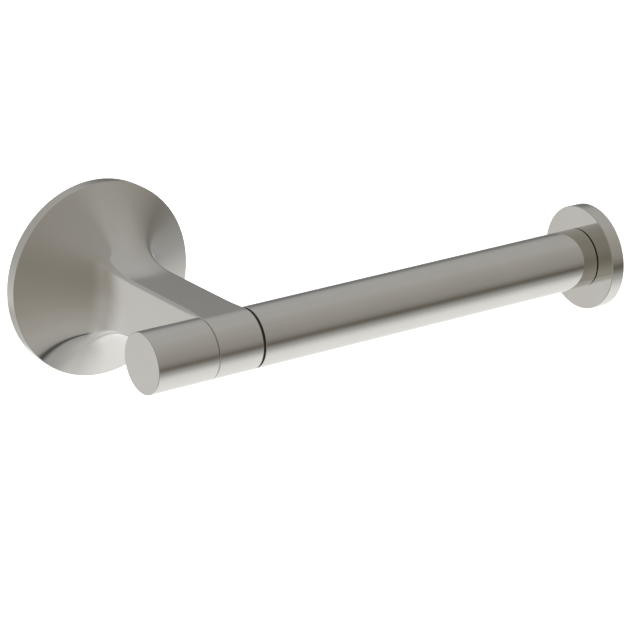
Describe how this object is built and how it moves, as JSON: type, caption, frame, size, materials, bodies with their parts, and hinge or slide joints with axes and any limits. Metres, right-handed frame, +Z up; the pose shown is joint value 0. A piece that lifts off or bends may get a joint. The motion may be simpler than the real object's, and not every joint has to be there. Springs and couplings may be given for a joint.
{
  "type": "toilet paper holder",
  "caption": "Wall-mounted toilet paper holder: a flared round post carries a level bar that turns about its own axis, with an end cap beside the post and a round disc that keeps the roll on.",
  "frame": {"origin": "centre of the flange's back face, on the wall plane", "axes": "+X along the bar towards the end disc, +Y into the wall, +Z up"},
  "size_m": [0.1725, 0.111, 0.0634],
  "materials": {
    "brushed_nickel": "brushed nickel, satin",
    "black_nylon": "matt moulded nylon",
    "pale_nylon": "natural moulded nylon",
    "zinc_steel": "bright zinc plated",
    "spring_steel": "dark tempered steel",
    "brass": "turned brass"
  },
  "bodies": {
    "post": {"wall_post": "brushed_nickel", "wall_plate": "zinc_steel", "plate_boss": "brass", "boss_screw": "zinc_steel", "wall_screws": "zinc_steel", "wall_anchors": "pale_nylon", "set_screw": "spring_steel", "end_cap": "brushed_nickel", "bush_left": "pale_nylon", "bush_right": "pale_nylon", "thrust_washer": "black_nylon"},
    "bar": {"bar_tube": "brushed_nickel", "root_plug": "brass", "tip_plug": "brass", "spindle": "zinc_steel", "disc_springs": "spring_steel", "spindle_washer": "zinc_steel", "lock_nut": "zinc_steel", "end_disc": "brushed_nickel", "disc_stud": "zinc_steel"}
  },
  "joints": [
    {"name": "bar_spin", "type": "hinge", "parent": "post", "child": "bar", "pos_m": [0.072, -0.0742, 0], "axis": [1, 0, 0], "continuous": true}
  ]
}
